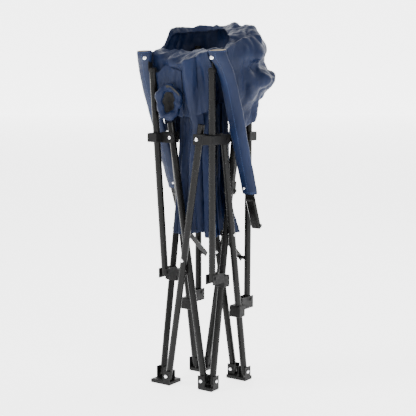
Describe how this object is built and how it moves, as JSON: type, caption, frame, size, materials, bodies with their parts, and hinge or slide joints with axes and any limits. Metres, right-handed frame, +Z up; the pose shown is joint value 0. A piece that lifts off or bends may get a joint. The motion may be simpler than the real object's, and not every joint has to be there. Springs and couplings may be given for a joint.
{
  "type": "folding camp chair",
  "caption": "Folded four-leg camp chair: crossing steel tubes in plastic feet and hubs, uprights with padded arm sleeves, gathered fabric seat and back, cup holder.",
  "frame": {"origin": "on the floor, at the middle of the bounding box's bottom, which is midway between the four feet", "axes": "+Z up, the chair faces -Y, +X is to the right seen from the front"},
  "size_m": [0.2908, 0.22, 0.8373],
  "materials": {
    "black_steel": "satin black powder coat",
    "rivet_steel": "zinc-plated",
    "black_plastic": "fine-grained moulding",
    "navy_fabric": "coated Oxford polyester",
    "black_fabric": "woven polyester"
  },
  "bodies": {
    "foot_front_right": {"foot_front_right": "black_plastic", "foot_rivet_front_right_side": "rivet_steel"},
    "rivet_front_right": {"foot_rivet_front_right_cross": "rivet_steel"},
    "right_leg_inner": {"right_leg_inner": "black_steel", "cross_rivet_right": "rivet_steel", "collar_right": "black_plastic", "bracket_front_right": "black_plastic", "hub_rivet_back_right": "rivet_steel"},
    "right_leg_outer": {"right_leg_outer": "black_steel", "bracket_back_right": "black_plastic"},
    "foot_back_right": {"foot_back_right": "black_plastic", "foot_rivet_back_right_side": "rivet_steel"},
    "rivet_back_right": {"foot_rivet_back_right_cross": "rivet_steel"},
    "back_leg_inner": {"back_leg_inner": "black_steel", "cross_rivet_back": "rivet_steel"},
    "back_leg_outer": {"back_leg_outer": "black_steel"},
    "front_leg_inner": {"front_leg_inner": "black_steel", "cross_rivet_front": "rivet_steel", "hub_rivet_front_left": "rivet_steel"},
    "front_leg_outer": {"front_leg_outer": "black_steel", "hub_rivet_front_right": "rivet_steel"},
    "hub_front_right": {"hub_front_right": "black_plastic"},
    "hub_front_left": {"hub_front_left": "black_plastic"},
    "hub_back_right": {"hub_back_right": "black_plastic"},
    "hub_back_left": {"hub_back_left": "black_plastic"},
    "rivet_front_left": {"foot_rivet_front_left_cross": "rivet_steel"},
    "foot_front_left": {"foot_front_left": "black_plastic", "foot_rivet_front_left_side": "rivet_steel"},
    "left_leg_outer": {"left_leg_outer": "black_steel", "cross_rivet_left": "rivet_steel", "collar_left": "black_plastic", "bracket_front_left": "black_plastic", "hub_rivet_back_left": "rivet_steel"},
    "left_leg_inner": {"left_leg_inner": "black_steel", "bracket_back_left": "black_plastic"},
    "foot_back_left": {"foot_back_left": "black_plastic", "foot_rivet_back_left_side": "rivet_steel"},
    "front_post_right": {"front_post_right": "black_steel", "cap_front_right": "black_plastic", "arm_rivet_right": "rivet_steel"},
    "front_post_left": {"front_post_left": "black_steel", "cap_front_left": "black_plastic", "arm_rivet_left": "rivet_steel", "cup_holder": "black_fabric"},
    "back_post_right": {"back_post_right": "black_steel", "plug_back_right": "black_plastic"},
    "back_post_left": {"back_post_left": "black_steel", "plug_back_left": "black_plastic"},
    "arm_right": {"arm_bar_right": "black_steel", "arm_sleeve_right": "navy_fabric"},
    "arm_left": {"arm_bar_left": "black_steel", "arm_sleeve_left": "navy_fabric"},
    "stay_right": {"stay_right": "black_steel"},
    "stay_left": {"stay_left": "black_steel"},
    "backrest": {"backrest": "navy_fabric"},
    "seat_front": {"seat_front_half": "navy_fabric"},
    "seat_back": {"seat_back_half": "navy_fabric"}
  },
  "joints": [
    {"name": "fold", "type": "hinge", "parent": "foot_front_right", "child": "right_leg_inner", "pos_m": [0.06358, -0.05373, 0.022], "axis": [-1, 0, 0], "range_deg": [0, 24], "deforming": ["backrest", "seat_front_half", "seat_back_half"]},
    {"name": "right_cross", "type": "hinge", "parent": "right_leg_inner", "child": "right_leg_outer", "pos_m": [0.07208, 0, 0.36127], "axis": [1, 0, 0], "range_deg": [0, 48.1]},
    {"name": "foot_back_right_turn", "type": "hinge", "parent": "right_leg_outer", "child": "foot_back_right", "pos_m": [0.08058, 0.05373, 0.022], "axis": [-1, 0, 0], "range_deg": [0, 24.05]},
    {"name": "front_right_tilt", "type": "hinge", "parent": "foot_front_right", "child": "rivet_front_right", "pos_m": [0.04458, -0.06173, 0.022], "axis": [-1, 0, 0], "range_deg": [0, 5.42]},
    {"name": "front_inner_swing", "type": "hinge", "parent": "rivet_front_right", "child": "front_leg_inner", "pos_m": [0.04458, -0.06173, 0.022], "axis": [0, -1, 0], "range_deg": [0, 23.03]},
    {"name": "front_cross", "type": "hinge", "parent": "front_leg_inner", "child": "front_leg_outer", "pos_m": [0, -0.07024, 0.30349], "axis": [0, 1, 0], "range_deg": [0, 46.06]},
    {"name": "hub_front_right_turn", "type": "hinge", "parent": "front_leg_outer", "child": "hub_front_right", "pos_m": [0.04458, -0.07873, 0.58498], "axis": [0, -1, 0], "range_deg": [0, 23.03]},
    {"name": "hub_front_left_turn", "type": "hinge", "parent": "front_leg_inner", "child": "hub_front_left", "pos_m": [-0.04458, -0.06173, 0.58498], "axis": [0, 1, 0], "range_deg": [0, 23.03]},
    {"name": "front_left_swing", "type": "hinge", "parent": "front_leg_outer", "child": "rivet_front_left", "pos_m": [-0.04458, -0.07873, 0.022], "axis": [0, -1, 0], "range_deg": [0, 23.03]},
    {"name": "foot_front_left_tilt", "type": "hinge", "parent": "rivet_front_left", "child": "foot_front_left", "pos_m": [-0.04458, -0.07873, 0.022], "axis": [1, 0, 0], "range_deg": [0, 5.42]},
    {"name": "left_outer_swing", "type": "hinge", "parent": "foot_front_left", "child": "left_leg_outer", "pos_m": [-0.08058, -0.05373, 0.022], "axis": [-1, 0, 0], "range_deg": [0, 24.05]},
    {"name": "left_cross", "type": "hinge", "parent": "left_leg_outer", "child": "left_leg_inner", "pos_m": [-0.07208, 0, 0.36127], "axis": [1, 0, 0], "range_deg": [0, 48.1]},
    {"name": "foot_back_left_turn", "type": "hinge", "parent": "left_leg_inner", "child": "foot_back_left", "pos_m": [-0.06358, 0.05373, 0.022], "axis": [-1, 0, 0], "range_deg": [0, 24.05]},
    {"name": "back_right_tilt", "type": "hinge", "parent": "foot_back_right", "child": "rivet_back_right", "pos_m": [0.04458, 0.06173, 0.022], "axis": [1, 0, 0], "range_deg": [0, 5.42]},
    {"name": "back_inner_swing", "type": "hinge", "parent": "rivet_back_right", "child": "back_leg_inner", "pos_m": [0.04458, 0.06173, 0.022], "axis": [0, -1, 0], "range_deg": [0, 23.03]},
    {"name": "back_cross", "type": "hinge", "parent": "back_leg_inner", "child": "back_leg_outer", "pos_m": [0, 0.07024, 0.30349], "axis": [0, 1, 0], "range_deg": [0, 46.06]},
    {"name": "hub_back_right_turn", "type": "hinge", "parent": "right_leg_inner", "child": "hub_back_right", "pos_m": [0.06358, 0.03543, 0.58498], "axis": [1, 0, 0], "range_deg": [0, 29.47]},
    {"name": "hub_back_left_turn", "type": "hinge", "parent": "left_leg_outer", "child": "hub_back_left", "pos_m": [-0.08058, 0.03543, 0.58498], "axis": [1, 0, 0], "range_deg": [0, 29.47]},
    {"name": "front_post_right_turn", "type": "hinge", "parent": "right_leg_inner", "child": "front_post_right", "pos_m": [0.068, -0.062, 0.266], "axis": [1, 0, 0], "range_deg": [0, 36.57]},
    {"name": "back_post_right_turn", "type": "hinge", "parent": "right_leg_outer", "child": "back_post_right", "pos_m": [0.072, 0.079, 0.193], "axis": [-1, 0, 0], "range_deg": [0, 28.82]},
    {"name": "arm_right_turn", "type": "hinge", "parent": "front_post_right", "child": "arm_right", "pos_m": [0.0926, -0.0864, 0.768], "axis": [1, 0, 0], "range_deg": [0, 33.22]},
    {"name": "stay_right_turn", "type": "hinge", "parent": "back_post_right", "child": "stay_right", "pos_m": [0.0518, 0.07926, 0.293], "axis": [1, 0, 0], "range_deg": [0, 37.2]},
    {"name": "front_post_left_turn", "type": "hinge", "parent": "left_leg_outer", "child": "front_post_left", "pos_m": [-0.068, -0.062, 0.266], "axis": [1, 0, 0], "range_deg": [0, 36.57]},
    {"name": "back_post_left_turn", "type": "hinge", "parent": "left_leg_inner", "child": "back_post_left", "pos_m": [-0.072, 0.079, 0.193], "axis": [-1, 0, 0], "range_deg": [0, 28.82]},
    {"name": "arm_left_turn", "type": "hinge", "parent": "front_post_left", "child": "arm_left", "pos_m": [-0.0926, -0.0864, 0.768], "axis": [1, 0, 0], "range_deg": [0, 33.22]},
    {"name": "stay_left_turn", "type": "hinge", "parent": "back_post_left", "child": "stay_left", "pos_m": [-0.0518, 0.07926, 0.293], "axis": [1, 0, 0], "range_deg": [0, 37.2]},
    {"name": "backrest_spread", "type": "slide", "parent": "back_post_right", "child": "backrest", "axis": [-1, 0, 0], "range_m": [0, 0.21317]},
    {"name": "seat_front_spread", "type": "slide", "parent": "hub_front_right", "child": "seat_front", "axis": [-1, 0, 0], "range_m": [0, 0.21317]},
    {"name": "seat_back_spread", "type": "slide", "parent": "hub_back_right", "child": "seat_back", "axis": [-1, 0, 0], "range_m": [0, 0.21317]}
  ],
  "couplings": [
    {"joint": "right_cross", "follows": "fold", "ratio": 2},
    {"joint": "foot_back_right_turn", "follows": "fold", "ratio": 1},
    {"joint": "front_right_tilt", "follows": "fold", "ratio": 0.22538},
    {"joint": "front_inner_swing", "follows": "fold", "ratio": 0.95764},
    {"joint": "front_cross", "follows": "fold", "ratio": 1.9153},
    {"joint": "hub_front_right_turn", "follows": "fold", "ratio": 0.95764},
    {"joint": "hub_front_left_turn", "follows": "fold", "ratio": 0.95764},
    {"joint": "front_left_swing", "follows": "fold", "ratio": 0.95764},
    {"joint": "foot_front_left_tilt", "follows": "fold", "ratio": 0.22538},
    {"joint": "left_outer_swing", "follows": "fold", "ratio": 1},
    {"joint": "left_cross", "follows": "fold", "ratio": 2},
    {"joint": "foot_back_left_turn", "follows": "fold", "ratio": 1},
    {"joint": "back_right_tilt", "follows": "fold", "ratio": 0.22538},
    {"joint": "back_inner_swing", "follows": "fold", "ratio": 0.95764},
    {"joint": "back_cross", "follows": "fold", "ratio": 1.9153},
    {"joint": "hub_back_right_turn", "follows": "fold", "ratio": 1.2254},
    {"joint": "hub_back_left_turn", "follows": "fold", "ratio": 1.2254},
    {"joint": "front_post_right_turn", "follows": "fold", "ratio": 1.5206},
    {"joint": "back_post_right_turn", "follows": "fold", "ratio": 1.1984},
    {"joint": "arm_right_turn", "follows": "fold", "ratio": 1.3816},
    {"joint": "stay_right_turn", "follows": "fold", "ratio": 1.5471},
    {"joint": "front_post_left_turn", "follows": "fold", "ratio": 1.5206},
    {"joint": "back_post_left_turn", "follows": "fold", "ratio": 1.1984},
    {"joint": "arm_left_turn", "follows": "fold", "ratio": 1.3816},
    {"joint": "stay_left_turn", "follows": "fold", "ratio": 1.5471},
    {"joint": "backrest_spread", "follows": "fold", "m_per_rad": 0.50789},
    {"joint": "seat_front_spread", "follows": "fold", "m_per_rad": 0.50789},
    {"joint": "seat_back_spread", "follows": "fold", "m_per_rad": 0.50789}
  ]
}
